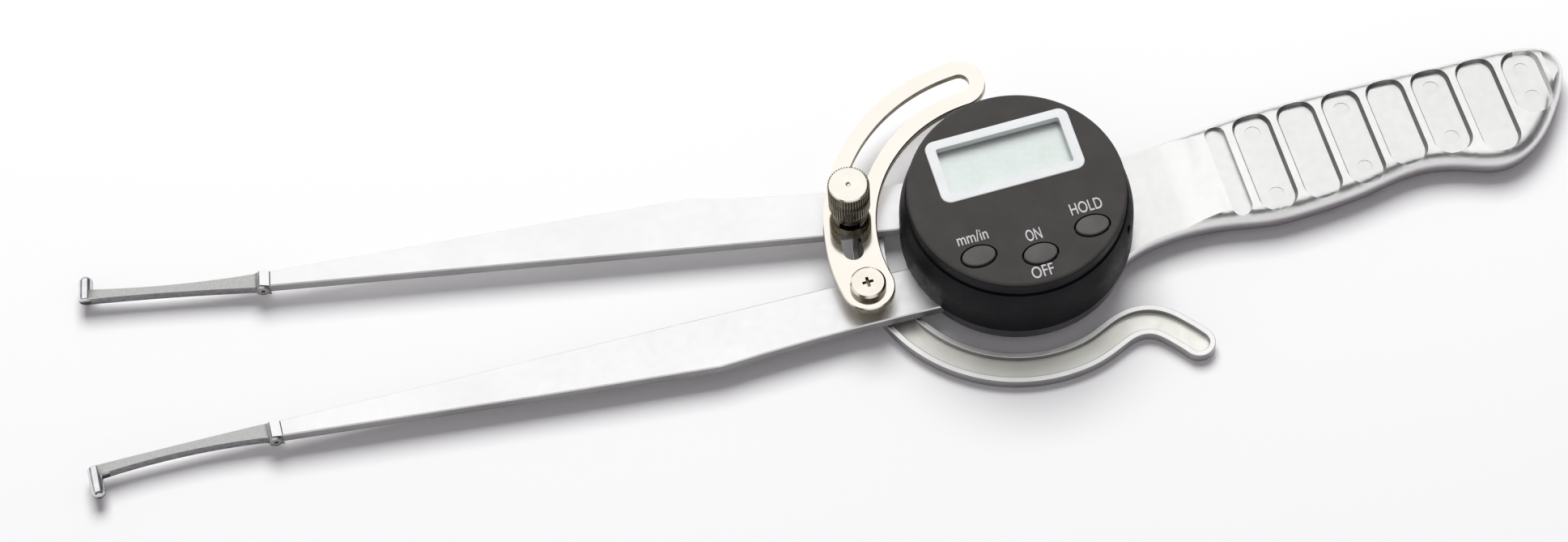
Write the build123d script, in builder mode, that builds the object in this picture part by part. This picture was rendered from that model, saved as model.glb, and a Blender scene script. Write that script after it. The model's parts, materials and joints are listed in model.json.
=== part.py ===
from build123d import *
from math import cos, radians, sin, tan
import os

# Digital internal caliper: two long arms, a lever trigger and a round display.
# The pivot axis is Z, the tool lies on Z = 0 and its handle runs along +X.
# Positions along an arm are measured from the pivot, sideways positions from
# the line through the pivot along which that arm points.

# Clearances
running_gap = 0.05
slide_gap = 0.15
loose_gap = 0.5

# Arms
arm_bottom = 4.3
arm_thickness = 3.2
arm_top = arm_bottom + arm_thickness
arm_length = 194.7
fixed_angle = 178.2
moving_angle = 168.6
fixed_inner = 4.0
moving_inner = 2.8
arm_tip_width = 4.4
arm_mid_at = 124.0
arm_mid_width = 11.2
arm_shoulder_at = 83.0
arm_shoulder_width = 14.8
arm_waist_at = 44.0
arm_waist_width = 13.1
arm_root_at = 22.0
arm_edge_break = 0.3
moving_arm_relief = 0.15
moving_arm_short = 1.6

# Swing of the moving arm away from the pose shown
open_travel = 67.0
close_travel = 11.0

# Hub under the display
hub_radius = 29.4
hub_ring_bottom = 3.1
hub_boss_radius = 21.5
hub_floor_top = arm_bottom - 0.1
moving_hub_radius = 12.3
moving_hub_overlap = 1.0
moving_hub_angle = 31.0
moving_root_spread = 32.5
moving_root_over = 1.6
moving_inner_spread = 5.0
swing_margin = 2.0
swing_over = 3.0

# Pivot, from the cover under the hub up to the nose that carries the rotor
cover_radius = 8.6
cover_thickness = 0.6
clip_recess_radius = 7.6
bush_bottom = 1.8
bush_radius = 5.5
washer_radius = 7.0
washer_bottom = 3.9
shaft_radius = 4.0
shaft_bottom = 0.8
shaft_collar_radius = 6.0
shaft_collar_height = 0.8
shaft_nose_radius = 2.5
clip_radius = 6.4
clip_bottom = 1.2
clip_thickness = 0.5
clip_groove_radius = 3.2
clip_mouth = 4.4
clip_mouth_from = 1.0

# Return spring in the hub
spring_radius = 9.0
spring_wire = 0.35
spring_turns = 1.75
spring_pitch = 0.8
spring_pocket_floor = 2.0
spring_pocket_gap = 0.6
spring_leg = 1.2

# Handle
grip_height = 9.0
grip_round = 3.6
grip_end_from = 148.0
core_round = 2.6
neck_top_flat = 42.0
neck_top_end = 57.0
neck_bottom_flat = 44.0
neck_bottom_end = 62.0
neck_top_curve = 75.0
neck_bottom_curve = 52.0
neck_cut_from = 10.0
pocket_depth = 1.5
pocket_side_depth = 0.75
pocket_start = 62.0
pocket_pitch = 12.17
pocket_width = 10.4
pocket_corner = 4.7
pocket_ends = [
    (14.0, -15.7), (14.1, -15.8), (14.0, -14.9), (13.7, -12.9), (13.2, -13.1), (12.6, -16.1), (11.4, -7.9),
]
pocket_draft = 24.0
root_pocket_width = 5.4
root_pocket_at = 57.3
root_pocket_ends = (12.9, -14.1)
root_pocket_corner = 2.6
heel_rim = 1.6
heel_recess_start = 146.7
heel_recess_low = -1.7
heel_recess_high = 12.0
ejector_radius = 2.1
ejector_depth = 0.12
ejector_inset = 5.4

# Fingers
finger_top = 5.8
finger_thickness = 3.0
finger_length = 49.9
finger_width = 2.9
finger_shoulder_width = 3.9
finger_fade = 9.0
knuckle_block = 2.5
knuckle_length = 4.6
knuckle_width = 4.4
knuckle_hollow = 2.4
fixed_finger_bend = (-0.4, -1.2, -1.7, -1.5)
moving_finger_bend = (0.4, 0.5, 0.4, 0.9)
contact_radius = 1.8
contact_level = 4.3
contact_tip = 11.7
contact_round = 1.5
contact_back_round = 0.4
tongue_length = 2.6
tongue_width = 2.4
tongue_height = 1.6
tongue_level = 4.7
boss_radius = 1.8
boss_stand = 0.5
boss_at = 1.9
boss_level = 5.3
set_screw_radius = 1.2
set_screw_sink = 0.1
set_screw_socket = 0.6
set_screw_socket_depth = 0.8

# Arc plate with its slot
slot_radius = 42.7
slot_width = 5.35
plate_width = 13.8
plate_bottom = 11.4
plate_thickness = 2.0
plate_top = plate_bottom + plate_thickness
slot_high_angle = 93.0
slot_low_angle = 176.2
plate_low_angle = 190.8
plate_edge_break = 0.25

# Screw and spacer that hold the plate to the fixed arm
plate_screw_radius = 2.0
plate_screw_head_radius = 4.6
plate_screw_head_height = 2.1
plate_screw_break = 0.5
plate_screw_end = 4.6
cross_length = 2.9
cross_width = 0.8
cross_depth = 1.0
spacer_radius = 4.5

# Knurled lock screw and the sleeve under the plate
lock_angle = 160.7
lock_shank_radius = 2.35
lock_shank_end = 4.5
lock_head_radius = 5.4
lock_head_bottom = 16.9
lock_head_top = 27.7
lock_collar_radius = 4.4
lock_plate_gap = 0.1
lock_head_break = 0.7
lock_dimple_radius = 0.6
lock_dimple_depth = 0.4
knurl_teeth = 40
knurl_depth = 0.3
knurl_width = 0.5
knurl_over = 0.1

# Trigger lever: a channel that runs round the hub and ends in a hook
lever_radius = 38.2
lever_width = 8.4
lever_bottom = 0.2
lever_height = 3.2
lever_rim = 1.5
lever_floor = 1.5
lever_start_angle = 149.0
lever_turn_angle = 281.0
lever_pad_end_angle = 160.0
hook_points = [(14.5, -35.0), (21.8, -32.8), (27.3, -34.2), (31.6, -38.2)]
hook_tip = (35.3, -43.0)
hook_tip_direction = (0.55, -0.83)
hook_steps = 8
lever_screw_radius = 1.25
lever_screw_head_radius = 2.3
lever_screw_head_height = 1.3
lever_screw_end = 6.4
lever_screw_socket_radius = 1.0
lever_screw_angles = (147.5, 156.5)

# Display housing
face_level = 28.0
base_radius = 30.0
base_floor_top = 9.5
base_hole_radius = 7.0
base_ledge_radius = 21.5
base_ledge_level = 12.2
base_cavity_radius = 22.9
base_straight_top = 15.5
base_shoulder_inset = 1.5
base_bulge_inset = 0.4
base_bulge_level = 19.6
base_bulge_lean = 0.4
base_top = 23.2
cap_radius = 28.0
cap_face_bottom = 25.4
cap_edge_round = 0.9
cap_crease = 0.5
cap_inner_radius = 26.2
cap_ledge_level = 24.0
spigot_radius = 25.6
spigot_inner_radius = 23.4
spigot_bottom = 18.6
post_radius = 2.0
post_places = [(-20.9, 1.5), (20.9, 1.5), (0.0, -7.5)]
display_screw_circle = 25.4
display_screw_radius = 1.25
display_screw_head_radius = 2.2
display_screw_head_height = 1.9
display_screw_depth = 4.0
display_screw_angles = (214.0, 292.0, 22.0)
cap_screw_angle = -32.0
cap_screw_level = 20.4
cap_screw_radius = 1.1
cap_screw_sink = 1.4

# Display, its frame and window
lcd_y = 10.1
frame_length = 38.1
frame_width = 18.6
frame_corner = 2.6
frame_stand = 0.35
frame_bottom = 26.2
frame_edge_round = 0.3
opening_length = 32.8
opening_width = 13.5
opening_corner = 0.65
window_length = 34.0
window_width = 14.7
panel_length = 35.0
panel_width = 15.6
panel_bottom = 24.1
connector_inset = 1.2
connector_width = 1.6
connector_length = 28.0

# Buttons
button_places = {"units_button": (-14.9, -15.8), "power_button": (0.1, -19.7), "hold_button": (15.0, -15.8)}
button_length = 8.6
button_width = 5.6
button_gap = 0.5
button_stand = 0.5
button_travel = 0.6
button_flange = 0.8
button_flange_height = 0.8
button_round = 0.4
button_stem_radius = 1.5
button_limit_radius = 25.9

# Electronics inside
board_radius = 23.2
board_bottom = 21.6
board_top = 23.0
board_screw_radius = 0.8
board_screw_head_radius = 1.7
board_screw_head_height = 0.8
board_screw_end = 24.6
switch_radius = 1.4
switch_height = 0.3
stator_radius = 22.7
stator_thickness = 1.0
stator_hole_radius = 5.5
rotor_radius = 18.0
rotor_bottom = 10.6
rotor_thickness = 1.0
rotor_window_circle = 14.0
rotor_window_count = 12
rotor_window_length = 5.0
rotor_window_width = 2.4
rotor_screw_radius = 1.0
rotor_screw_length = 3.0
rotor_screw_head_radius = 2.2
rotor_screw_head_height = 0.9
cell_radius = 10.0
cell_height = 3.2
cell_edge_break = 0.5
cell_y = 12.2
drawer_width = 21.8
drawer_front = 1.2
drawer_bottom = 13.3
drawer_top = 18.0
drawer_floor = 0.9
drawer_gap = 0.1


def polar(radius, angle):
    """Point in plan at a radius and an angle from the pivot axis."""
    return (radius * cos(radians(angle)), radius * sin(radians(angle)))


def arm_plane(angle, level):
    """Level plane whose x runs out along an arm and whose y is to its left."""
    return Plane(origin=(0, 0, level), x_dir=(*polar(1, angle), 0), z_dir=(0, 0, 1))


def left_plane(angle, distance):
    """Upright plane that faces left of an arm; its x runs back along the arm and its y is up."""
    left = polar(1, angle + 90)
    back = polar(1, angle + 180)
    return Plane(origin=(distance * left[0], distance * left[1], 0), x_dir=(*back, 0), z_dir=(*left, 0))


def rounds(places, radius, low, high, mode=Mode.ADD):
    """Upright round bars, or holes, between two levels in the part being built."""
    with BuildSketch(Plane.XY.offset(low)) as flat:
        with Locations(*places):
            Circle(radius)
    extrude(flat.sketch, amount=high - low, mode=mode)


def block(size_x, size_y, center, low, high, corner=0.0, mode=Mode.ADD):
    """Upright block, with rounded corners if asked, in the part being built."""
    with BuildSketch(Plane.XY.offset(low)) as flat:
        with Locations(center):
            if corner > 0:
                RectangleRounded(size_x, size_y, corner)
            else:
                Rectangle(size_x, size_y)
    extrude(flat.sketch, amount=high - low, mode=mode)


def save(piece, name):
    """Label a finished piece and write it to its own file."""
    piece.part.label = name
    export_step(piece.part, f"parts/{name}.step")


os.makedirs("parts", exist_ok=True)

plate_screw_at = polar(slot_radius, plate_low_angle)
lock_at = polar(slot_radius, lock_angle)
lever_screws_at = [polar(lever_radius, angle) for angle in lever_screw_angles]
display_screws_at = [polar(display_screw_circle, angle) for angle in display_screw_angles]
spring_coil_bottom = spring_pocket_floor + spring_wire + running_gap
spring_coil_top = spring_coil_bottom + spring_turns * spring_pitch
spring_end_at = polar(spring_radius, 360 * spring_turns)
moving_length = arm_length - moving_arm_short
moving_top = arm_top - moving_arm_relief
base_bulge_radius = base_radius - base_bulge_inset
base_shoulder_radius = base_radius - base_shoulder_inset
cap_screw_length = base_bulge_radius - spigot_radius - cap_screw_sink


def grip_outline(inset=0.0):
    """Plan of the handle from the hub to its heel, waisted on the finger side."""
    points = [
        (20.0, -20.3), (27.0, -15.9), (37.0, -13.9), (52.0, -14.4), (64.0, -16.6), (76.0, -16.7), (90.0, -15.5),
        (106.0, -13.5), (117.0, -15.9), (126.5, -18.7), (136.0, -15.8), (144.0, -8.3), (149.4, -0.4), (151.2, 5.0),
        (149.2, 10.2), (144.0, 12.5), (125.0, 14.1), (100.0, 15.1), (80.0, 15.5), (62.0, 15.1), (47.0, 13.6),
        (34.0, 12.6), (20.0, 12.4),
    ]
    moved = [(x - inset * (x > grip_end_from), y - inset * (1 if y > 0 else -1)) for x, y in points]
    with BuildLine() as line:
        Spline(*moved)
        Line(moved[-1], moved[0])
    return line.line


# Core that the pocket floors follow, so that each floor turns down over the rounded edges
with BuildPart() as pocket_core:
    with BuildSketch(Plane.XY.offset(pocket_depth)):
        add(grip_outline(pocket_side_depth))
        make_face()
    extrude(amount=grip_height - 2 * pocket_depth)
    core_rims = pocket_core.faces().filter_by(Axis.Z)
    fillet(core_rims.edges().filter_by(lambda edge: edge.center().X > arm_root_at), radius=core_round)

# Pockets with drafted walls, wider towards both faces than at the middle of the grip
draft_spread = grip_height / 2 * tan(radians(pocket_draft))
with BuildPart() as pockets:
    for index, (high, low) in enumerate(pocket_ends):
        middle = pocket_start + pocket_width / 2 + index * pocket_pitch
        with BuildSketch(Plane.XY.offset(grip_height / 2)):
            with Locations((middle, (high + low) / 2)):
                RectangleRounded(pocket_width - 2 * draft_spread, high - low - 2 * draft_spread,
                                 pocket_corner - draft_spread)
        extrude(amount=grip_height / 2 + 0.5, taper=-pocket_draft)
    mirror(about=Plane.XY.offset(grip_height / 2))
    add(pocket_core.part, mode=Mode.SUBTRACT)

with BuildPart() as grip:
    with BuildSketch(Plane.XY):
        add(grip_outline())
        make_face()
    extrude(amount=grip_height)
    grip_rims = grip.faces().filter_by(Axis.Z)
    fillet(grip_rims.edges().filter_by(lambda edge: edge.center().X > arm_root_at), radius=grip_round)
    # The neck is scooped thin above and below where it meets the hub
    with BuildSketch(Plane.XZ):
        with BuildLine():
            Polyline((neck_top_end, grip_height), (neck_top_end, grip_height + 1),
                     (neck_cut_from, grip_height + 1), (neck_cut_from, arm_top), (neck_top_flat, arm_top))
            RadiusArc((neck_top_flat, arm_top), (neck_top_end, grip_height), neck_top_curve)
        make_face()
        with BuildLine():
            Polyline((neck_bottom_end, 0), (neck_bottom_end, -1), (neck_cut_from, -1),
                     (neck_cut_from, hub_ring_bottom), (neck_bottom_flat, hub_ring_bottom))
            RadiusArc((neck_bottom_flat, hub_ring_bottom), (neck_bottom_end, 0), -neck_bottom_curve)
        make_face()
    extrude(amount=base_radius, both=True, mode=Mode.SUBTRACT)
    add(pockets.part, mode=Mode.SUBTRACT)
    root_pocket_length = root_pocket_ends[0] - root_pocket_ends[1]
    block(root_pocket_width, root_pocket_length, (root_pocket_at, sum(root_pocket_ends) / 2),
          grip_height - pocket_depth, grip_height + 1, root_pocket_corner, Mode.SUBTRACT)
    # Short recess behind the last pocket, with a rim that follows the heel
    with BuildSketch(Plane.XY.offset(grip_height - pocket_depth)):
        add(grip_outline(heel_rim))
        make_face()
        with Locations((heel_recess_start + base_radius, (heel_recess_low + heel_recess_high) / 2)):
            Rectangle(2 * base_radius, heel_recess_high - heel_recess_low, mode=Mode.INTERSECT)
    extrude(amount=grip_height, mode=Mode.SUBTRACT)
    # Round marks that the ejector pins leave in the floor of every second pocket
    for index, (high, low) in list(enumerate(pocket_ends))[::2]:
        middle = pocket_start + pocket_width / 2 + index * pocket_pitch
        marks = [(middle, high - ejector_inset), (middle, low + ejector_inset)]
        rounds(marks, ejector_radius, grip_height - pocket_depth - ejector_depth, grip_height, Mode.SUBTRACT)


def arm_outline(side, inner, length, root):
    """Closed tapering outline of an arm; side turns it to the left or to the right."""
    shoulder = (arm_shoulder_at, side * (inner + arm_shoulder_width))
    with BuildLine() as line:
        Polyline(root[0], (length, side * inner), (length, side * (inner + arm_tip_width)),
                 (arm_mid_at, side * (inner + arm_mid_width)), shoulder)
        Spline(shoulder, (arm_waist_at, side * (inner + arm_waist_width)), root[-1])
        Polyline(*root)
    return line.line


def tongue(angle, start, middle):
    """Outline of the tongue on the end of an arm, over which a finger slips."""
    with BuildSketch(arm_plane(angle, tongue_level)) as flat:
        with Locations((start + tongue_length / 2, middle)):
            Rectangle(tongue_length, tongue_width)
    return flat.sketch


fixed_middle = fixed_inner + arm_tip_width / 2
moving_middle = -(moving_inner + arm_tip_width / 2)
swing_low = moving_angle + close_travel - moving_inner_spread + swing_margin
swing_high = moving_angle - open_travel - moving_root_spread - swing_margin
swing_reach = hub_radius + swing_over

# Handle, hub and fixed arm, cast in one
with BuildPart() as handle_frame:
    with BuildSketch(arm_plane(fixed_angle, arm_bottom)):
        add(arm_outline(1, fixed_inner, arm_length,
                        [(arm_root_at, fixed_inner), (arm_root_at, fixed_inner + arm_waist_width)]))
        make_face()
    extrude(amount=arm_thickness)
    chamfer(handle_frame.faces().sort_by(Axis.Z)[-1].edges(), length=arm_edge_break)
    rounds([(0, 0)], hub_radius, hub_ring_bottom, arm_top)
    rounds([(0, 0)], hub_boss_radius, 0, hub_ring_bottom)
    add(grip.part)
    with BuildSketch(Plane.XY.offset(hub_floor_top)):
        with BuildLine():
            Line((0, 0), polar(swing_reach, swing_high))
            ThreePointArc(polar(swing_reach, swing_high), polar(swing_reach, (swing_high + swing_low) / 2),
                          polar(swing_reach, swing_low))
            Line(polar(swing_reach, swing_low), (0, 0))
        make_face()
        Circle(moving_hub_radius + loose_gap)
    extrude(amount=arm_thickness + 1, mode=Mode.SUBTRACT)
    with BuildSketch(Plane.XY.offset(spring_pocket_floor)):
        Circle(spring_radius + spring_wire + spring_pocket_gap)
        Circle(spring_radius - spring_wire - spring_pocket_gap, mode=Mode.SUBTRACT)
    extrude(amount=hub_floor_top - spring_pocket_floor, mode=Mode.SUBTRACT)
    rounds([(spring_radius, 0)], spring_wire, spring_coil_bottom - spring_leg, hub_floor_top, Mode.SUBTRACT)
    rounds([(0, 0)], cover_radius, 0, cover_thickness, Mode.SUBTRACT)
    rounds([(0, 0)], clip_recess_radius, 0, bush_bottom, Mode.SUBTRACT)
    rounds([(0, 0)], bush_radius, 0, arm_top, Mode.SUBTRACT)
    rounds([(0, 0)], washer_radius, washer_bottom, arm_top, Mode.SUBTRACT)
    rounds(display_screws_at, display_screw_radius, hub_ring_bottom, arm_top, Mode.SUBTRACT)
    rounds(display_screws_at, display_screw_head_radius, 0, hub_ring_bottom + display_screw_head_height,
           Mode.SUBTRACT)
    rounds([plate_screw_at], plate_screw_radius, arm_bottom, arm_top, Mode.SUBTRACT)
    extrude(tongue(fixed_angle, arm_length, fixed_middle), amount=tongue_height)
save(handle_frame, "handle_frame")

# Moving arm: the same outline turned over, on a round hub of its own
moving_root = [
    (moving_hub_radius - moving_hub_overlap, -moving_inner),
    polar(moving_hub_radius - moving_hub_overlap, -moving_hub_angle),
    polar(hub_radius + moving_root_over, -moving_root_spread),
]
with BuildPart() as moving_arm:
    with BuildSketch(arm_plane(moving_angle, arm_bottom)):
        add(arm_outline(-1, moving_inner, moving_length, moving_root))
        make_face()
    extrude(amount=moving_top - arm_bottom)
    chamfer(moving_arm.faces().sort_by(Axis.Z)[-1].edges(), length=arm_edge_break)
    rounds([(0, 0)], moving_hub_radius, arm_bottom, moving_top)
    rounds([(0, 0)], shaft_radius, arm_bottom, moving_top, Mode.SUBTRACT)
    rounds([lock_at], lock_shank_radius + running_gap, arm_bottom, moving_top, Mode.SUBTRACT)
    rounds(lever_screws_at, lever_screw_radius, arm_bottom, lever_screw_end, Mode.SUBTRACT)
    rounds([spring_end_at], spring_wire + running_gap, arm_bottom, spring_coil_top + spring_leg + slide_gap,
           Mode.SUBTRACT)
    extrude(tongue(moving_angle, moving_length, moving_middle), amount=tongue_height)
save(moving_arm, "moving_arm")


def finger(name, angle, side, start, middle, bend):
    """Finger with its round contact, and the set screw that clamps it on the arm's tongue."""
    bottom = finger_top - finger_thickness
    shoulder = start + knuckle_length
    reach = start + finger_length
    contact_at = reach - contact_radius
    stations = [start, start + knuckle_block, shoulder, shoulder + finger_fade, contact_at]
    widths = [knuckle_width, knuckle_width, finger_shoulder_width, finger_width, finger_width]
    centers = [middle] + [middle + side * shift for shift in bend]
    near = [(x, center - side * width / 2) for x, center, width in zip(stations, centers, widths)]
    far = [(x, center + side * width / 2) for x, center, width in zip(stations, centers, widths)]
    contact_back = near[-1][1]
    outward = Axis((0, 0, 0), (*polar(side, angle + 90), 0))
    with BuildPart() as contact:
        with BuildSketch(left_plane(angle, contact_back)):
            with Locations((-contact_at, contact_level)):
                Circle(contact_radius)
        extrude(amount=side * contact_tip - contact_back)
        fillet(contact.faces().filter_by(GeomType.PLANE).sort_by(outward)[-1].edges(), radius=contact_round)
        fillet(contact.faces().filter_by(GeomType.PLANE).sort_by(outward)[0].edges(), radius=contact_back_round)
    with BuildPart() as piece:
        with BuildSketch(arm_plane(angle, bottom)):
            with BuildLine():
                Polyline(*near[:3])
                Spline(*near[2:])
                Line(near[-1], far[-1])
                Spline(*far[:1:-1])
                Polyline(*far[2::-1], near[0])
            make_face()
        extrude(amount=arm_top - bottom)
        # Beyond the knuckle the top falls in a hollow curve to the level of the finger
        with BuildSketch(left_plane(angle, 0)):
            with BuildLine():
                block_end = start + knuckle_block
                Polyline((-shoulder, finger_top), (-reach - 1, finger_top), (-reach - 1, arm_top + 1),
                         (-block_end, arm_top + 1), (-block_end, arm_top))
                RadiusArc((-block_end, arm_top), (-shoulder, finger_top), knuckle_hollow)
            make_face()
        extrude(amount=base_radius, both=True, mode=Mode.SUBTRACT)
        add(contact.part)
        with BuildSketch(left_plane(angle, middle)):
            with Locations((-start - boss_at, boss_level)):
                Circle(boss_radius)
        extrude(amount=knuckle_width / 2 + boss_stand)
        extrude(tongue(angle, start, middle), amount=tongue_height, mode=Mode.SUBTRACT)
        with BuildSketch(left_plane(angle, middle)):
            with Locations((-start - boss_at, boss_level)):
                Circle(set_screw_radius)
        extrude(amount=knuckle_width, mode=Mode.SUBTRACT)
    save(piece, name)
    screw_length = (knuckle_width - tongue_width) / 2 + boss_stand - set_screw_sink
    with BuildPart() as screw:
        with BuildSketch(left_plane(angle, middle + tongue_width / 2)):
            with Locations((-start - boss_at, boss_level)):
                Circle(set_screw_radius)
        extrude(amount=screw_length)
        with BuildSketch(left_plane(angle, middle + tongue_width / 2 + screw_length)):
            with Locations((-start - boss_at, boss_level)):
                RegularPolygon(set_screw_socket, 6)
        extrude(amount=-set_screw_socket_depth, mode=Mode.SUBTRACT)
    save(screw, name + "_screw")


finger("fixed_finger", fixed_angle, 1, arm_length, fixed_middle, fixed_finger_bend)
finger("moving_finger", moving_angle, -1, moving_length, moving_middle, moving_finger_bend)

# Arc plate: a band on the slot's circle with round ends
with BuildPart() as arc_plate:
    with BuildSketch(Plane.XY.offset(plate_bottom)):
        with BuildLine():
            CenterArc((0, 0), slot_radius, slot_high_angle, plate_low_angle - slot_high_angle)
            offset(amount=plate_width / 2, side=Side.BOTH)
        make_face()
    extrude(amount=plate_thickness)
    chamfer(arc_plate.faces().sort_by(Axis.Z)[-1].edges(), length=plate_edge_break)
    with BuildSketch(Plane.XY.offset(plate_bottom)):
        with BuildLine():
            CenterArc((0, 0), slot_radius, slot_high_angle, slot_low_angle - slot_high_angle)
            offset(amount=slot_width / 2, side=Side.BOTH)
        make_face()
        with Locations(plate_screw_at):
            Circle(plate_screw_radius)
    extrude(amount=plate_thickness, mode=Mode.SUBTRACT)
save(arc_plate, "arc_plate")

with BuildPart() as plate_spacer:
    rounds([plate_screw_at], spacer_radius, arm_top, plate_bottom)
    rounds([plate_screw_at], plate_screw_radius, arm_top, plate_bottom, Mode.SUBTRACT)
save(plate_spacer, "plate_spacer")

with BuildPart() as plate_screw:
    rounds([plate_screw_at], plate_screw_head_radius, plate_top, plate_top + plate_screw_head_height)
    chamfer(plate_screw.faces().sort_by(Axis.Z)[-1].edges(), length=plate_screw_break)
    rounds([plate_screw_at], plate_screw_radius, plate_screw_end, plate_top)
    with BuildSketch(Plane.XY.offset(plate_top + plate_screw_head_height - cross_depth)):
        with Locations(plate_screw_at):
            Rectangle(cross_length, cross_width)
            Rectangle(cross_width, cross_length)
    extrude(amount=cross_depth, mode=Mode.SUBTRACT)
save(plate_screw, "plate_screw")

with BuildPart() as lock_sleeve:
    rounds([lock_at], spacer_radius, moving_top, plate_bottom - lock_plate_gap)
    rounds([lock_at], lock_shank_radius + running_gap, moving_top, plate_bottom, Mode.SUBTRACT)
save(lock_sleeve, "lock_sleeve")

# Lock screw: knurled head over a plain collar that clamps the plate
with BuildPart() as lock_screw:
    rounds([lock_at], lock_head_radius, lock_head_bottom, lock_head_top)
    chamfer(lock_screw.faces().filter_by(Axis.Z).edges(), length=lock_head_break)
    with BuildSketch(Plane.XY.offset(lock_head_bottom)):
        with Locations(lock_at):
            with PolarLocations(lock_head_radius, knurl_teeth):
                Polygon((-knurl_depth, 0), (knurl_over, knurl_width / 2), (knurl_over, -knurl_width / 2),
                        align=None)
    extrude(amount=lock_head_top - lock_head_bottom, mode=Mode.SUBTRACT)
    rounds([lock_at], lock_collar_radius, plate_top + lock_plate_gap, lock_head_bottom)
    rounds([lock_at], lock_shank_radius, lock_shank_end, lock_head_bottom)
    rounds([lock_at], lock_dimple_radius, lock_head_top - lock_dimple_depth, lock_head_top, Mode.SUBTRACT)
save(lock_screw, "lock_screw")


with BuildLine() as hook_line:
    Spline(polar(lever_radius, lever_turn_angle), *hook_points, hook_tip,
           tangents=[polar(1, lever_turn_angle + 90), hook_tip_direction])


def hook_side(offset_by):
    """Points beside the hook's centre line, at a distance to its left."""
    curve = hook_line.line.edges()[0]
    steps = [index / hook_steps for index in range(hook_steps + 1)]
    return [curve @ step + (curve % step).rotate(Axis.Z, 90) * offset_by for step in steps]


def lever_outline(half):
    """Band around the trigger's centre line, with round ends: an arc about the pivot, then the hook."""
    outside = hook_side(-half)
    inside = hook_side(half)
    start_angle = lever_start_angle
    start_back = Vector(*polar(lever_radius, start_angle)) + Vector(*polar(1, start_angle - 90)) * half
    tip_front = hook_line.line @ 1 + (hook_line.line % 1) * half
    leave = [hook_line.line % 0, hook_line.line % 1]
    with BuildLine() as line:
        CenterArc((0, 0), lever_radius + half, start_angle, lever_turn_angle - start_angle)
        Spline(*outside, tangents=leave)
        ThreePointArc(outside[-1], tip_front, inside[-1])
        Spline(*inside, tangents=leave)
        CenterArc((0, 0), lever_radius - half, start_angle, lever_turn_angle - start_angle)
        ThreePointArc(polar(lever_radius - half, start_angle), start_back, polar(lever_radius + half, start_angle))
    return line.line


# Trigger lever
with BuildPart() as trigger_lever:
    with BuildSketch(Plane.XY.offset(lever_bottom)):
        add(lever_outline(lever_width / 2))
        make_face()
    extrude(amount=lever_height)
    with BuildSketch(Plane.XY.offset(lever_bottom + lever_floor)):
        add(lever_outline(lever_width / 2 - lever_rim))
        make_face()
    extrude(amount=lever_height, mode=Mode.SUBTRACT)
    # Solid pad at the root, screwed up against the underside of the moving arm
    with BuildSketch(Plane.XY.offset(lever_bottom)):
        with BuildLine():
            CenterArc((0, 0), lever_radius, lever_start_angle, lever_pad_end_angle - lever_start_angle)
            offset(amount=(lever_width - lever_rim) / 2, side=Side.BOTH)
        make_face()
    extrude(amount=arm_bottom - lever_bottom)
    rounds(lever_screws_at, lever_screw_radius, 0, arm_bottom, Mode.SUBTRACT)
    rounds(lever_screws_at, lever_screw_head_radius, 0, lever_bottom + lever_screw_head_height, Mode.SUBTRACT)
save(trigger_lever, "trigger_lever")

with BuildPart() as lever_screws:
    rounds(lever_screws_at, lever_screw_head_radius, lever_bottom, lever_bottom + lever_screw_head_height)
    rounds(lever_screws_at, lever_screw_radius, lever_bottom, lever_screw_end)
    rounds(lever_screws_at, lever_screw_socket_radius, lever_bottom, lever_bottom + set_screw_socket_depth,
           Mode.SUBTRACT)
save(lever_screws, "lever_screws")

# Pivot pieces
with BuildPart() as pivot_cover:
    rounds([(0, 0)], cover_radius, 0, cover_thickness)
save(pivot_cover, "pivot_cover")

with BuildPart() as pivot_bush:
    rounds([(0, 0)], bush_radius, bush_bottom, washer_bottom)
    rounds([(0, 0)], shaft_radius + running_gap, bush_bottom, washer_bottom, Mode.SUBTRACT)
save(pivot_bush, "pivot_bush")

with BuildPart() as thrust_washer:
    rounds([(0, 0)], washer_radius, washer_bottom, arm_bottom)
    rounds([(0, 0)], shaft_radius + running_gap, washer_bottom, arm_bottom, Mode.SUBTRACT)
save(thrust_washer, "thrust_washer")

collar_top = moving_top + shaft_collar_height
with BuildPart() as pivot_shaft:
    rounds([(0, 0)], shaft_radius, shaft_bottom, moving_top)
    with BuildSketch(Plane.XY.offset(clip_bottom)):
        Circle(shaft_radius)
        Circle(clip_groove_radius, mode=Mode.SUBTRACT)
    extrude(amount=clip_thickness, mode=Mode.SUBTRACT)
    rounds([(0, 0)], shaft_collar_radius, moving_top, collar_top)
    rounds([(0, 0)], shaft_nose_radius, collar_top, rotor_bottom)
    rounds([(0, 0)], rotor_screw_radius, rotor_bottom - rotor_screw_length, rotor_bottom, Mode.SUBTRACT)
save(pivot_shaft, "pivot_shaft")

with BuildPart() as pivot_clip:
    rounds([(0, 0)], clip_radius, clip_bottom, clip_bottom + clip_thickness)
    rounds([(0, 0)], clip_groove_radius, clip_bottom, clip_bottom + clip_thickness, Mode.SUBTRACT)
    block(clip_radius, clip_mouth, (clip_mouth_from + clip_radius / 2, 0), clip_bottom, clip_bottom + clip_thickness,
          mode=Mode.SUBTRACT)
save(pivot_clip, "pivot_clip")

with BuildPart() as return_spring:
    with BuildLine() as coil:
        Helix(spring_pitch, spring_turns * spring_pitch, spring_radius, center=(0, 0, spring_coil_bottom))
    with BuildSketch(Plane(origin=coil.line @ 0, z_dir=coil.line % 0)):
        RegularPolygon(spring_wire, 6)
    sweep(is_frenet=True)
    rounds([(spring_radius, 0)], spring_wire, spring_coil_bottom - spring_leg, spring_coil_bottom)
    rounds([spring_end_at], spring_wire, spring_coil_top, spring_coil_top + spring_leg)
save(return_spring, "return_spring")

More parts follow.
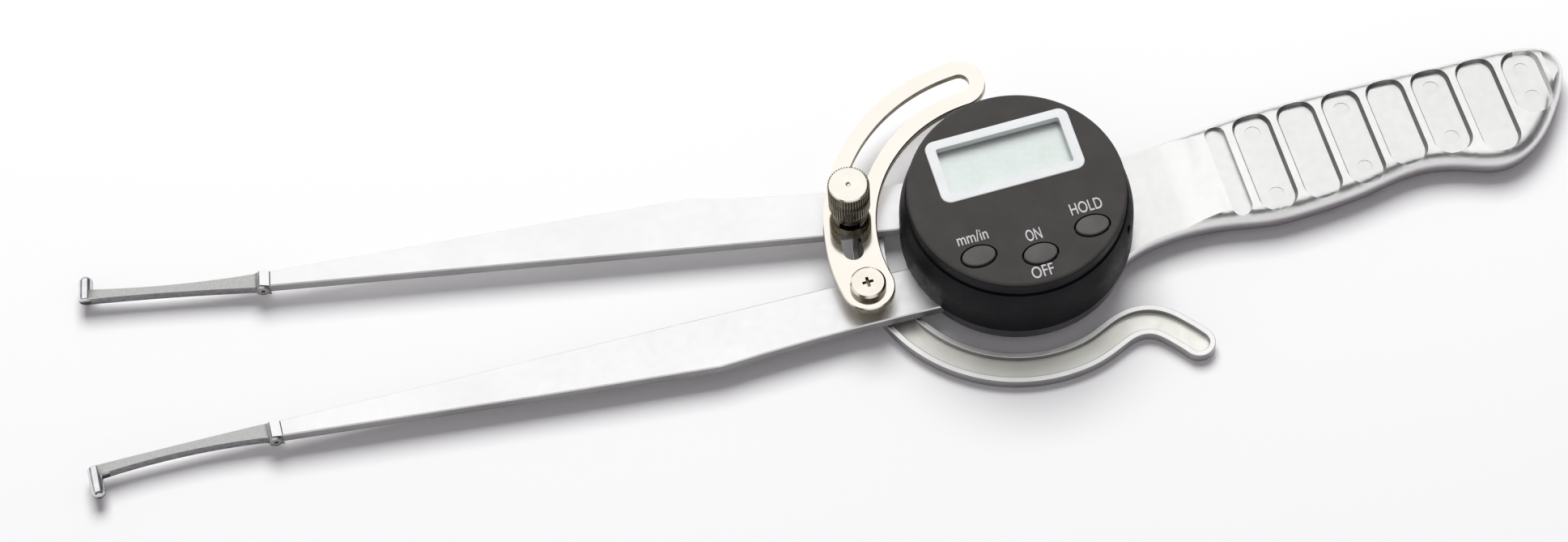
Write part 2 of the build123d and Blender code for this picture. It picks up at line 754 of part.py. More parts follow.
# Encoder
with BuildPart() as encoder_rotor:
    rounds([(0, 0)], rotor_radius, rotor_bottom, rotor_bottom + rotor_thickness)
    rounds([(0, 0)], rotor_screw_radius, rotor_bottom, rotor_bottom + rotor_thickness, Mode.SUBTRACT)
    with BuildSketch(Plane.XY.offset(rotor_bottom)):
        with PolarLocations(rotor_window_circle, rotor_window_count):
            Rectangle(rotor_window_length, rotor_window_width)
    extrude(amount=rotor_thickness, mode=Mode.SUBTRACT)
save(encoder_rotor, "encoder_rotor")

rotor_top = rotor_bottom + rotor_thickness
with BuildPart() as rotor_screw:
    rounds([(0, 0)], rotor_screw_head_radius, rotor_top, rotor_top + rotor_screw_head_height)
    rounds([(0, 0)], rotor_screw_radius, rotor_bottom - rotor_screw_length, rotor_top)
save(rotor_screw, "rotor_screw")

with BuildPart() as encoder_stator:
    rounds([(0, 0)], stator_radius, base_ledge_level, base_ledge_level + stator_thickness)
    rounds([(0, 0)], stator_hole_radius, base_ledge_level, base_ledge_level + stator_thickness, Mode.SUBTRACT)
save(encoder_stator, "encoder_stator")


def housing_profile(inner):
    """Half section of the housing base: its outer shape, closed along the given inner points."""
    with BuildLine() as line:
        Line((base_radius, arm_top), (base_radius, base_straight_top))
        Spline((base_radius, base_straight_top), (base_bulge_radius, base_bulge_level),
               (base_shoulder_radius, base_top), tangents=[(0, 1), (-base_bulge_lean, 1)])
        Polyline((base_shoulder_radius, base_top), *inner, (base_radius, arm_top))
    return line.line


# Housing base, with a thick wall for its screws and a slot at the back for the battery drawer
spigot_floor = spigot_bottom - slide_gap
with BuildPart() as display_base:
    with BuildSketch(Plane.XZ):
        add(housing_profile([
            (spigot_radius, base_top), (spigot_radius, spigot_floor), (base_cavity_radius, spigot_floor),
            (base_cavity_radius, base_ledge_level), (base_ledge_radius, base_ledge_level),
            (base_ledge_radius, base_floor_top), (base_hole_radius, base_floor_top), (base_hole_radius, arm_top),
        ]))
        make_face()
    revolve(axis=Axis.Z)
    rounds(display_screws_at, display_screw_radius, arm_top, arm_top + display_screw_depth, Mode.SUBTRACT)
    block(drawer_width + 2 * drawer_gap, base_radius, (0, drawer_front + base_radius / 2), drawer_bottom,
          drawer_top + drawer_gap, mode=Mode.SUBTRACT)
    with BuildSketch(left_plane(cap_screw_angle - 90, 0)):
        with Locations((0, cap_screw_level)):
            Circle(cap_screw_radius)
    extrude(amount=base_radius, mode=Mode.SUBTRACT)
save(display_base, "display_base")

with BuildPart() as battery_drawer:
    with BuildSketch(Plane.XZ):
        add(housing_profile([(0, base_top), (0, arm_top)]))
        make_face()
    revolve(axis=Axis.Z)
    block(drawer_width, base_radius, (0, drawer_front + base_radius / 2), drawer_bottom, drawer_top,
          mode=Mode.INTERSECT)
    rounds([(0, cell_y)], cell_radius + drawer_gap, drawer_bottom + drawer_floor, drawer_top, Mode.SUBTRACT)
save(battery_drawer, "battery_drawer")

with BuildPart() as button_cell:
    rounds([(0, cell_y)], cell_radius, drawer_bottom + drawer_floor, drawer_bottom + drawer_floor + cell_height)
    chamfer(button_cell.faces().sort_by(Axis.Z)[-1].edges(), length=cell_edge_break)
save(button_cell, "button_cell")

with BuildPart() as display_screws:
    head_top = hub_ring_bottom + display_screw_head_height
    rounds(display_screws_at, display_screw_head_radius, hub_ring_bottom, head_top)
    rounds(display_screws_at, display_screw_radius, head_top, arm_top + display_screw_depth)
    with BuildSketch(Plane.XY.offset(hub_ring_bottom)):
        with Locations(*display_screws_at):
            Rectangle(cross_length, cross_width)
            Rectangle(cross_width, cross_length)
    extrude(amount=cross_depth, mode=Mode.SUBTRACT)
save(display_screws, "display_screws")

# Cap, with a spigot down into the base and posts for the circuit board
button_hole = (button_length / 2 + button_gap, button_width / 2 + button_gap)
with BuildPart() as display_cap:
    with BuildSketch(Plane.XZ):
        with BuildLine():
            Polyline((0, cap_face_bottom), (cap_inner_radius, cap_face_bottom), (cap_inner_radius, cap_ledge_level),
                     (spigot_inner_radius, cap_ledge_level), (spigot_inner_radius, spigot_bottom),
                     (spigot_radius, spigot_bottom), (spigot_radius, base_top),
                     (cap_radius - cap_crease, base_top), (cap_radius - cap_crease, base_top + cap_crease),
                     (cap_radius, base_top + cap_crease), (cap_radius, face_level), (0, face_level), close=True)
        make_face()
    revolve(axis=Axis.Z)
    fillet(display_cap.faces().sort_by(Axis.Z)[-1].edges(), radius=cap_edge_round)
    rounds(post_places, post_radius, board_top, cap_face_bottom)
    rounds(post_places, board_screw_radius, board_top, board_screw_end, Mode.SUBTRACT)
    block(frame_length, frame_width, (0, lcd_y), frame_bottom, face_level, frame_corner, Mode.SUBTRACT)
    block(window_length, window_width, (0, lcd_y), cap_face_bottom, frame_bottom, mode=Mode.SUBTRACT)
    with BuildSketch(Plane.XY.offset(cap_face_bottom)):
        with Locations(*button_places.values()):
            Ellipse(*button_hole)
    extrude(amount=face_level - cap_face_bottom, mode=Mode.SUBTRACT)
save(display_cap, "display_cap")

with BuildPart() as cap_set_screw:
    with BuildSketch(left_plane(cap_screw_angle - 90, spigot_radius)):
        with Locations((0, cap_screw_level)):
            Circle(cap_screw_radius)
    extrude(amount=cap_screw_length)
    with BuildSketch(left_plane(cap_screw_angle - 90, spigot_radius + cap_screw_length)):
        with Locations((0, cap_screw_level)):
            RegularPolygon(set_screw_socket, 6)
    extrude(amount=-set_screw_socket_depth, mode=Mode.SUBTRACT)
save(cap_set_screw, "cap_set_screw")

# Display stack
frame_top = face_level + frame_stand
with BuildPart() as lcd_frame:
    block(frame_length, frame_width, (0, lcd_y), frame_bottom, frame_top, frame_corner)
    fillet(lcd_frame.faces().sort_by(Axis.Z)[-1].edges(), radius=frame_edge_round)
    block(opening_length, opening_width, (0, lcd_y), frame_bottom, frame_top, opening_corner, Mode.SUBTRACT)
save(lcd_frame, "lcd_frame")

with BuildPart() as lcd_window:
    block(window_length, window_width, (0, lcd_y), cap_face_bottom, frame_bottom)
save(lcd_window, "lcd_window")

with BuildPart() as lcd_panel:
    block(panel_length, panel_width, (0, lcd_y), panel_bottom, cap_face_bottom)
save(lcd_panel, "lcd_panel")

with BuildPart() as lcd_connectors:
    strip_y = panel_width / 2 - connector_inset
    for y in (lcd_y - strip_y, lcd_y + strip_y - 2 * connector_inset):
        block(connector_length, connector_width, (0, y), board_top, panel_bottom)
save(lcd_connectors, "lcd_connectors")

with BuildPart() as circuit_board:
    rounds([(0, 0)], board_radius, board_bottom, board_top)
    rounds(list(button_places.values()), switch_radius, board_top, board_top + switch_height)
    rounds(post_places, board_screw_radius, board_bottom, board_top, Mode.SUBTRACT)
save(circuit_board, "circuit_board")

with BuildPart() as board_screws:
    rounds(post_places, board_screw_head_radius, board_bottom - board_screw_head_height, board_bottom)
    rounds(post_places, board_screw_radius, board_bottom, board_screw_end)
save(board_screws, "board_screws")

# Buttons
for button_name, place in button_places.items():
    with BuildPart() as button:
        with BuildSketch(Plane.XY.offset(cap_face_bottom)):
            with Locations(place):
                Ellipse(button_length / 2, button_width / 2)
        extrude(amount=face_level + button_stand - cap_face_bottom)
        fillet(button.faces().sort_by(Axis.Z)[-1].edges(), radius=button_round)
        with BuildSketch(Plane.XY.offset(cap_face_bottom - button_flange_height)):
            with Locations(place):
                Ellipse(button_length / 2 + button_flange, button_width / 2 + button_flange)
            Circle(button_limit_radius, mode=Mode.INTERSECT)
        extrude(amount=button_flange_height)
        rounds([place], button_stem_radius, board_top + switch_height + button_travel + running_gap,
               cap_face_bottom - button_flange_height)
    save(button, button_name)
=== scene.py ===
import json
import math

import bmesh
import bpy
from mathutils import Matrix, Vector


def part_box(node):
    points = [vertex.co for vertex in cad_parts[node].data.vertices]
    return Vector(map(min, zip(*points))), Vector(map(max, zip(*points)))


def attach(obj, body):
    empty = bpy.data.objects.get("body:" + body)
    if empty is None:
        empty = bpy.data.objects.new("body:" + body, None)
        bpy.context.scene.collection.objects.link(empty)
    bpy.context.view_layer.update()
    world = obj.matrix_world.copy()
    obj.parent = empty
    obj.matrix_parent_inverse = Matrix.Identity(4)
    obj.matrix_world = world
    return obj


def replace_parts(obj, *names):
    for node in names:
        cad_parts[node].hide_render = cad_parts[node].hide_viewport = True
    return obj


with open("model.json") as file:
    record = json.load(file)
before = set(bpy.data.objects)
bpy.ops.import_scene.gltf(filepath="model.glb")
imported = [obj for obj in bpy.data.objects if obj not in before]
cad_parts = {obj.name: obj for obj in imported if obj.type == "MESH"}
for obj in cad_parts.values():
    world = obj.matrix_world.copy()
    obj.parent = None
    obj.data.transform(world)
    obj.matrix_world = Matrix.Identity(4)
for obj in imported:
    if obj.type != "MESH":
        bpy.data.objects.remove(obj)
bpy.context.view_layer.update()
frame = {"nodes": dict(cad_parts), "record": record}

# The long internal caliper, dressed over its solids: pivot axis on Z, handle along +X.
# Settings are in millimetres and degrees. The camera's and studio's places and distances are in metres.
mm = 0.001
micron = 0.000001
scene = bpy.context.scene
bodyOf = {node: body for body, nodes in frame["record"]["behaviour"]["bodies"].items() for node in nodes}
print("stage: frame loaded,", len(frame["nodes"]), "nodes")

camera = {
    "lens": 92.93,
    "sensor": 36.0,
    "clip": (0.05, 30.0),
    "place": (-0.161044, -0.483589, 0.919495),
    "azimuth": 11.603,
    "elevation": 61.294,
    "roll": -4.928,
}


def placeCamera(setup):
    data = bpy.data.cameras.new("viewCamera")
    data.lens = setup["lens"]
    data.sensor_width = setup["sensor"]
    data.sensor_fit = "HORIZONTAL"
    data.clip_start, data.clip_end = setup["clip"]
    turn, lift, roll = (math.radians(setup[key]) for key in ("azimuth", "elevation", "roll"))
    ahead = Vector((math.sin(turn) * math.cos(lift), math.cos(turn) * math.cos(lift), -math.sin(lift)))
    right = ahead.cross(Vector((0, 0, 1))).normalized()
    up = right.cross(ahead)
    rightRolled = right * math.cos(roll) + up * math.sin(roll)
    upRolled = up * math.cos(roll) - right * math.sin(roll)
    pose = Matrix((rightRolled, upRolled, -ahead)).transposed().to_4x4()
    pose.translation = Vector(setup["place"])
    holder = bpy.data.objects.new("viewCamera", data)
    holder.matrix_world = pose
    scene.collection.objects.link(holder)
    scene.camera = holder


placeCamera(camera)


# A finish varies a little in colour and gloss, and has its own grain
colorBand = (0.35, 0.65)  # the noise's values between which the colour changes
glossBand = (0.3, 0.7)  # and those between which the gloss does


class Finish:
    def __init__(self, name, roughness, metallic=0.0):
        self.material = bpy.data.materials.new(name)
        self.material.use_nodes = True
        self.tree = self.material.node_tree
        self.tree.nodes.clear()
        self.shader = self.add("ShaderNodeBsdfPrincipled")
        self.shader.inputs["Roughness"].default_value = roughness
        self.shader.inputs["Metallic"].default_value = metallic
        output = self.add("ShaderNodeOutputMaterial")
        self.join(self.shader, "BSDF", output, "Surface")
        self.place = self.add("ShaderNodeTexCoord")
        self.height = None

    def add(self, kind, **values):
        node = self.tree.nodes.new(kind)
        for key, value in values.items():
            setattr(node, key, value)
        return node

    def join(self, source, output, target, socket):
        self.tree.links.new(source.outputs[output], target.inputs[socket])

    def noise(self, scale, detail):
        node = self.add("ShaderNodeTexNoise")
        node.inputs["Scale"].default_value = scale
        node.inputs["Detail"].default_value = detail
        self.join(self.place, "Object", node, "Vector")
        return node

    def rings(self, center, scale, distortion):
        wave = self.add("ShaderNodeTexWave", wave_type="RINGS", rings_direction="Z")
        wave.inputs["Scale"].default_value = scale
        wave.inputs["Distortion"].default_value = distortion
        mapping = self.add("ShaderNodeMapping", vector_type="TEXTURE")
        mapping.inputs["Location"].default_value = (*center, 0)
        self.join(self.place, "Object", mapping, "Vector")
        self.join(mapping, "Vector", wave, "Vector")
        return wave

    def ramp(self, source, output, stops):
        node = self.add("ShaderNodeValToRGB")
        elements = node.color_ramp.elements
        for element, (position, color) in zip(elements, stops):
            element.position = position
            element.color = (*color, 1.0)
        self.join(source, output, node, "Fac")
        return node

    def colors(self, source, dark, light):
        node = self.ramp(source, "Fac", list(zip(colorBand, (dark, light))))
        self.join(node, "Color", self.shader, "Base Color")
        return node

    def paintedShadeBelow(self, colors, levels, paintedShadeColor):
        # Painted shade: the colour is darkened towards the shade colour below the first level, full colour
        # above the second
        split = self.add("ShaderNodeSeparateXYZ")
        self.join(self.place, "Object", split, "Vector")
        height = self.add("ShaderNodeMapRange", interpolation_type="SMOOTHSTEP")
        height.inputs["From Min"].default_value = levels[0] * mm
        height.inputs["From Max"].default_value = levels[1] * mm
        self.join(split, "Z", height, "Value")
        shade = self.ramp(height, "Result", [(0.0, paintedShadeColor), (1.0, (1.0, 1.0, 1.0))])
        both = self.add("ShaderNodeVectorMath", operation="MULTIPLY")
        self.join(colors, "Color", both, 0)
        self.join(shade, "Color", both, 1)
        self.join(both, "Vector", self.shader, "Base Color")

    def gloss(self, source, low, high):
        node = self.add("ShaderNodeMapRange")
        node.inputs["From Min"].default_value = glossBand[0]
        node.inputs["From Max"].default_value = glossBand[1]
        node.inputs["To Min"].default_value = low
        node.inputs["To Max"].default_value = high
        self.join(source, "Fac", node, "Value")
        self.join(node, "Result", self.shader, "Roughness")

    def bump(self, source, depth, strength):
        node = self.add("ShaderNodeBump")
        node.inputs["Distance"].default_value = depth * micron
        node.inputs["Strength"].default_value = strength
        self.join(source, "Fac", node, "Height")
        if self.height:
            self.join(self.height, "Normal", node, "Normal")
        self.join(node, "Normal", self.shader, "Normal")
        self.height = node


# In every finish, gloss is the least and most roughness, and grain a depth in microns.
# In every pattern, a noise is its scale and detail, and strength is that of its bump.
castings = {
    "satinCasting": {
        "light": (0.97, 0.97, 0.96), "dark": (0.93, 0.93, 0.92), "gloss": (0.29, 0.36), "grain": 1.8,
        # Painted shade: below the first level in mm the handle's lower sides are darkened, as if they
        # reflected the shadowed floor
        "levels": (5.0, 8.1), "paintedShadeColor": (0.36, 0.34, 0.36),
    },
    "armCasting": {
        "light": (0.97, 0.97, 0.97), "dark": (0.93, 0.93, 0.93), "gloss": (0.31, 0.38), "grain": 1.6,
    },
    # Painted shade: the pockets' walls are a dark copy of the casting
    "pocketWall": {
        "light": (0.36, 0.35, 0.35), "dark": (0.28, 0.27, 0.27), "gloss": (0.32, 0.42), "grain": 2.0,
    },
    # Painted shade: a dark copy of the casting for the arms' and the lever's sides
    "armSide": {
        "light": (0.42, 0.41, 0.41), "dark": (0.34, 0.33, 0.33), "gloss": (0.34, 0.44), "grain": 2.0,
    },
    # Painted shade: a dark copy of the casting for the hub's sides under the housing
    "hubSide": {
        "light": (0.30, 0.28, 0.30), "dark": (0.20, 0.19, 0.20), "gloss": (0.4, 0.55), "grain": 3.0,
    },
    "channelFloor": {
        "light": (0.99, 0.99, 0.92), "dark": (0.87, 0.87, 0.80), "gloss": (0.34, 0.44), "grain": 3.0,
        "metallic": 0.6,
    },
}
castingPattern = {
    "cloud": (55, 4.0),
    "sheen": (420, 3.0),
    "waves": (60, 1.5),
    "waveDepth": 30.0,
    "waveStrength": 0.2,
    "grain": (2400, 2.0),
    "grainStrength": 0.3,
}


def castingFinish(name, setup):
    finish = Finish(name, setup["gloss"][0], setup.get("metallic", 1.0))
    colors = finish.colors(finish.noise(*castingPattern["cloud"]), setup["dark"], setup["light"])
    if "levels" in setup:
        finish.paintedShadeBelow(colors, setup["levels"], setup["paintedShadeColor"])
    finish.gloss(finish.noise(*castingPattern["sheen"]), *setup["gloss"])
    waves = finish.noise(*castingPattern["waves"])
    finish.bump(waves, castingPattern["waveDepth"], castingPattern["waveStrength"])
    finish.bump(finish.noise(*castingPattern["grain"]), setup["grain"], castingPattern["grainStrength"])
    return finish.material


metals = {
    "fingerSteel": {
        "light": (0.60, 0.60, 0.59), "dark": (0.51, 0.51, 0.50), "gloss": (0.36, 0.46), "scale": 1400,
        "grain": 1.4,
    },
    # Painted shade: a dark copy of the finger steel for the fingers' sides
    "fingerSide": {
        "light": (0.34, 0.33, 0.34), "dark": (0.24, 0.23, 0.24), "gloss": (0.36, 0.48), "scale": 900,
        "grain": 1.0,
    },
    "contactSteel": {
        "light": (0.86, 0.86, 0.88), "dark": (0.76, 0.76, 0.78), "gloss": (0.14, 0.22), "scale": 500,
        # Painted shade: below these levels in mm the contacts' lower parts are darkened
        "grain": 4.0, "levels": (4.0, 5.6), "paintedShadeColor": (0.08, 0.08, 0.09),
    },
    "fingerScrew": {
        "light": (0.50, 0.49, 0.47), "dark": (0.34, 0.33, 0.32), "gloss": (0.28, 0.4), "scale": 800,
        "grain": 4.0,
    },
    "polishedNickel": {
        "light": (0.96, 0.92, 0.85), "dark": (0.94, 0.89, 0.81), "gloss": (0.07, 0.11), "scale": 90,
        "grain": 0.6,
    },
    # Painted shade: a dark copy of the nickel for the plate's and the screw's sides, the screw's recess,
    # and the spacer and sleeve under the plate
    "plateEdge": {
        "light": (0.30, 0.26, 0.18), "dark": (0.16, 0.14, 0.10), "gloss": (0.25, 0.4), "scale": 500,
        "grain": 4.0,
    },
    # Painted shade and reflection: the knurl is a dark copy of the lock screw's nickel
    "lockKnurl": {
        "light": (0.24, 0.21, 0.155), "dark": (0.18, 0.16, 0.12), "gloss": (0.2, 0.3), "scale": 300,
        "grain": 0.8,
    },
    # Painted shade: a darker copy still for the collar under the head
    "lockCollar": {
        "light": (0.13, 0.115, 0.09), "dark": (0.08, 0.07, 0.055), "gloss": (0.22, 0.34), "scale": 400,
        "grain": 4.0,
    },
    "blackOxide": {
        "light": (0.10, 0.10, 0.10), "dark": (0.045, 0.045, 0.05), "gloss": (0.35, 0.5), "scale": 700,
        "grain": 4.0,
    },
    "bearingBronze": {
        "light": (0.66, 0.47, 0.27), "dark": (0.52, 0.36, 0.20), "gloss": (0.28, 0.42), "scale": 400,
        "grain": 4.0,
    },
    "brightSteel": {
        "light": (0.66, 0.66, 0.66), "dark": (0.54, 0.54, 0.54), "gloss": (0.2, 0.32), "scale": 500,
        "grain": 4.0,
    },
}
metalPattern = {
    "cloudDetail": 4.0,
    "grainFiner": 4,  # the grain's scale, as a multiple of the cloud's
    "grainDetail": 2.0,
    "grainStrength": 0.5,
}


def metalFinish(name, setup):
    finish = Finish(name, setup["gloss"][0], 1.0)
    cloud = finish.noise(setup["scale"], metalPattern["cloudDetail"])
    colors = finish.colors(cloud, setup["dark"], setup["light"])
    if "levels" in setup:
        finish.paintedShadeBelow(colors, setup["levels"], setup["paintedShadeColor"])
    finish.gloss(cloud, *setup["gloss"])
    grain = finish.noise(setup["scale"] * metalPattern["grainFiner"], metalPattern["grainDetail"])
    finish.bump(grain, setup["grain"], metalPattern["grainStrength"])
    return finish.material


mouldings = {
    "housingBlack": {
        "light": (0.068, 0.064, 0.062), "dark": (0.060, 0.056, 0.054), "gloss": (0.5, 0.6), "grain": 12.0,
        "specular": 0.12,
    },
    # Painted shade: a darker copy of the housing black for the cap's sides, the base and the drawer
    "housingSide": {
        "light": (0.013, 0.012, 0.015), "dark": (0.009, 0.009, 0.011), "gloss": (0.38, 0.5), "grain": 10.0,
        "specular": 0.1,
    },
    "buttonGrey": {
        "light": (0.115, 0.109, 0.104), "dark": (0.09, 0.086, 0.082), "gloss": (0.42, 0.52), "grain": 8.0,
        "specular": 0.25,
    },
    "frameWhite": {
        "light": (0.80, 0.82, 0.82), "dark": (0.76, 0.78, 0.78), "gloss": (0.2, 0.28), "grain": 2.0,
    },
    "crystalPanel": {
        "light": (0.765, 0.835, 0.80), "dark": (0.735, 0.80, 0.765), "gloss": (0.22, 0.3), "grain": 1.0,
    },
    "connectorRubber": {
        "light": (0.13, 0.13, 0.14), "dark": (0.09, 0.09, 0.10), "gloss": (0.6, 0.75), "grain": 10.0,
    },
    "labelInk": {
        "light": (0.63, 0.63, 0.63), "dark": (0.55, 0.55, 0.56), "gloss": (0.5, 0.6), "grain": 1.0,
    },
    "boardLaminate": {
        "light": (0.03, 0.20, 0.09), "dark": (0.02, 0.13, 0.06), "gloss": (0.3, 0.42), "grain": 6.0,
    },
}
mouldedPattern = {
    "cloud": (160, 4.0),
    "sheen": (700, 2.0),
    "grain": (1800, 3.0),
    "grainStrength": 0.6,
}


def mouldedFinish(name, setup):
    finish = Finish(name, setup["gloss"][0])
    finish.shader.inputs["Specular IOR Level"].default_value = setup.get("specular", 0.5)
    finish.colors(finish.noise(*mouldedPattern["cloud"]), setup["dark"], setup["light"])
    finish.gloss(finish.noise(*mouldedPattern["sheen"]), *setup["gloss"])
    finish.bump(finish.noise(*mouldedPattern["grain"]), setup["grain"], mouldedPattern["grainStrength"])
    return finish.material


# The axes of the lock screw and of the arc plate's screw, in metres: their faces are turned round them
lockAt = (-0.0403, 0.01411)
plateScrewAt = (-0.04194, -0.008)
turnings = {
    "lockFace": {
        "light": (0.96, 0.92, 0.84), "dark": (0.93, 0.88, 0.80), "gloss": (0.10, 0.18), "grain": 1.0,
        "center": lockAt,
    },
    "screwFace": {
        "light": (0.94, 0.89, 0.81), "dark": (0.90, 0.84, 0.75), "gloss": (0.09, 0.18), "grain": 1.0,
        "center": plateScrewAt,
    },
}
turnedPattern = {
    "cloud": (260, 4.0),
    "ringScale": 1400,
    "ringWobble": 0.6,
    "ringStrength": 0.3,
}


def turnedFinish(name, setup):
    finish = Finish(name, setup["gloss"][0], 1.0)
    finish.colors(finish.noise(*turnedPattern["cloud"]), setup["dark"], setup["light"])
    rings = finish.rings(setup["center"], turnedPattern["ringScale"], turnedPattern["ringWobble"])
    finish.gloss(rings, *setup["gloss"])
    finish.bump(rings, setup["grain"], turnedPattern["ringStrength"])
    return finish.material


windows = {
    "clearWindow": {
        "light": (1.0, 1.0, 1.0), "dark": (0.96, 0.99, 0.97), "gloss": (0.03, 0.06), "alpha": 0.10,
        "refraction": 1.49, "cloud": (90, 2.0), "sheen": (300, 2.0),
    },
}


def clearFinish(name, setup):
    finish = Finish(name, setup["gloss"][0])
    finish.colors(finish.noise(*setup["cloud"]), setup["dark"], setup["light"])
    finish.gloss(finish.noise(*setup["sheen"]), *setup["gloss"])
    finish.shader.inputs["Alpha"].default_value = setup["alpha"]
    finish.shader.inputs["IOR"].default_value = setup["refraction"]
    return finish.material


finishKinds = [
    (castingFinish, castings),
    (metalFinish, metals),
    (turnedFinish, turnings),
    (mouldedFinish, mouldings),
    (clearFinish, windows),
]
finishes = {name: make(name, setup) for make, rows in finishKinds for name, setup in rows.items()}
print("stage: finishes made,", len(finishes))


# Shapes taken over from the solids: merged, with smooth curves and fine broken edges
def addPiece(name, mesh, body):
    piece = bpy.data.objects.new(name, mesh)
    scene.collection.objects.link(piece)
    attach(piece, body)
    return piece


def plainMesh(holder):
    bpy.context.view_layer.update()
    evaluated = holder.evaluated_get(bpy.context.evaluated_depsgraph_get())
    return bpy.data.meshes.new_from_object(evaluated)


# A choose function numbers the finish that a face takes from its piece's list
def isSide(face):
    return abs(face.normal.z) < 0.5


def isLevelTop(face):
    return face.normal.z > 0.9


# Side faces take the second finish, a painted-shade copy of the first
def shadedSideOrTop(face, setup):
    return 1 if isSide(face) else 0


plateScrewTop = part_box("plate_screw")[1][2]


def screwPart(face, setup):
    # Painted shade: the cross recess takes the dark edge finish down to its floor
    center = face.calc_center_median()
    recess = math.hypot(center.x - plateScrewAt[0], center.y - plateScrewAt[1]) < setup["recessRadius"] * mm
    below = center.z < plateScrewTop - setup["recessDepth"] * mm
    return 1 if isSide(face) or (recess and below) else 0


def pocketWall(face, center, setup):
    # The drafted walls of the grip's pockets, which face the display or the near side, and which take
    # painted shade
    steep = setup["wallTilt"][0] < face.normal.z < setup["wallTilt"][1]
    towardDisplay = face.normal.x < setup["towardDisplay"]
    towardNearSide = face.normal.y < setup["towardNearSide"] and center.y > setup["farHalf"] * mm
    return steep and center.z > setup["wallFoot"] * mm and (towardDisplay or towardNearSide)


# Pocket walls, hub sides and arm sides take painted-shade copies of the casting
def castingPart(face, setup):
    center = face.calc_center_median()
    inGrip = setup["grip"][0] * mm < center.x < setup["grip"][1] * mm
    if inGrip and pocketWall(face, center, setup):
        return 3
    onArm = center.x < 0
    if not isSide(face):
        return 4 if onArm and face.normal.z > 0 else 0
    if math.hypot(center.x, center.y) < setup["hubRadius"] * mm:
        return 1
    return 2 if onArm else 0


# The finger's sides take the painted-shade copy of its steel
def fingerPart(face, setup):
    center = face.calc_center_median()
    turn = math.radians(setup["armAngle"])
    along = center.x * math.cos(turn) + center.y * math.sin(turn)
    if along > setup["pinStart"] * mm:
        return 1
    if isLevelTop(face) and center.z > setup["knuckleTop"] * mm:
        return 2
    return 3 if isSide(face) else 0


# The lever's sides take the painted-shade copy of the arm casting
def channelPart(face, setup):
    center = face.calc_center_median()
    if isLevelTop(face) and setup["floorLevels"][0] * mm < center.z < setup["floorLevels"][1] * mm:
        return 1
    return 2 if isSide(face) else 0


fingerFinishes = ["fingerSteel", "contactSteel", "armCasting", "fingerSide"]
shells = {
    "handle_frame": {
        "name": "handleCasting",
        "finishes": ["satinCasting", "hubSide", "armSide", "pocketWall", "armCasting"],
        "choose": castingPart,
        "crease": 20,
        "grip": (44, 140),  # where the pockets lie along the handle
        "wallFoot": 6.9,  # the level that their walls lie above
        "wallTilt": (-0.05, 0.62),  # between these a wall's normal rises
        "towardDisplay": -0.5,  # along the handle, its normal is below this,
        "towardNearSide": -0.35,  # or across the handle below this, and then
        "farHalf": 2,  # the wall lies beyond this
        "hubRadius": 29.6,
    },
    "moving_arm": {"name": "movingArm", "finishes": ["armCasting", "armSide"], "choose": shadedSideOrTop},
    "trigger_lever": {
        "name": "triggerLever",
        "finishes": ["armCasting", "channelFloor", "armSide"],
        "choose": channelPart,
        "breakEdge": 0.18,
        "floorLevels": (1.0, 2.2),
    },
    "fixed_finger": {
        "name": "fixedFinger",
        "finishes": fingerFinishes,
        "choose": fingerPart,
        "breakEdge": 0.12,
        "armAngle": 178.2,  # the arm's direction from the pivot
        "pinStart": 240.9,  # how far out its contact starts
        "knuckleTop": 7.2,
    },
    "moving_finger": {
        "name": "movingFinger",
        "finishes": fingerFinishes,
        "choose": fingerPart,
        "breakEdge": 0.12,
        "armAngle": 168.6,
        "pinStart": 239.3,
        "knuckleTop": 7.2,
    },
    "arc_plate": {"name": "arcPlate", "finishes": ["polishedNickel", "plateEdge"], "choose": shadedSideOrTop},
    "plate_spacer": {"name": "plateSpacer", "finishes": ["plateEdge"]},
    "plate_screw": {
        "name": "plateScrew",
        "finishes": ["screwFace", "plateEdge"],
        "choose": screwPart,
        "recessRadius": 1.7,
        "recessDepth": 0.15,
    },
    "lock_sleeve": {"name": "lockSleeve", "finishes": ["plateEdge"]},
    "display_base": {"name": "housingBase", "finishes": ["housingSide"]},
    "display_cap": {"name": "housingCap", "finishes": ["housingBlack", "housingSide"], "choose": shadedSideOrTop},
    "battery_drawer": {"name": "batteryDrawer", "finishes": ["housingSide"]},
    "lcd_frame": {"name": "displayFrame", "finishes": ["frameWhite"]},
    "lcd_window": {"name": "displayWindow", "finishes": ["clearWindow"]},
    "lcd_panel": {"name": "displayPanel", "finishes": ["crystalPanel"]},
    "units_button": {"name": "unitsButton", "finishes": ["buttonGrey"]},
    "power_button": {"name": "powerButton", "finishes": ["buttonGrey"]},
    "hold_button": {"name": "holdButton", "finishes": ["buttonGrey"]},
    "pivot_cover": {"name": "pivotCover", "finishes": ["polishedNickel"], "breakEdge": 0.1},
    "lever_screws": {"name": "leverScrews", "finishes": ["blackOxide"], "breakEdge": 0.15},
    "display_screws": {"name": "housingScrews", "finishes": ["brightSteel"]},
    "cap_set_screw": {"name": "sideSetScrew", "finishes": ["blackOxide"]},
    "fixed_finger_screw": {"name": "fixedFingerScrew", "finishes": ["fingerScrew"]},
    "moving_finger_screw": {"name": "movingFingerScrew", "finishes": ["fingerScrew"]},
}
seam = {
    "mergeReach": 0.002,
    "flatWithin": 0.4,
    "crease": 30,
    "edgeSteps": 2,
}


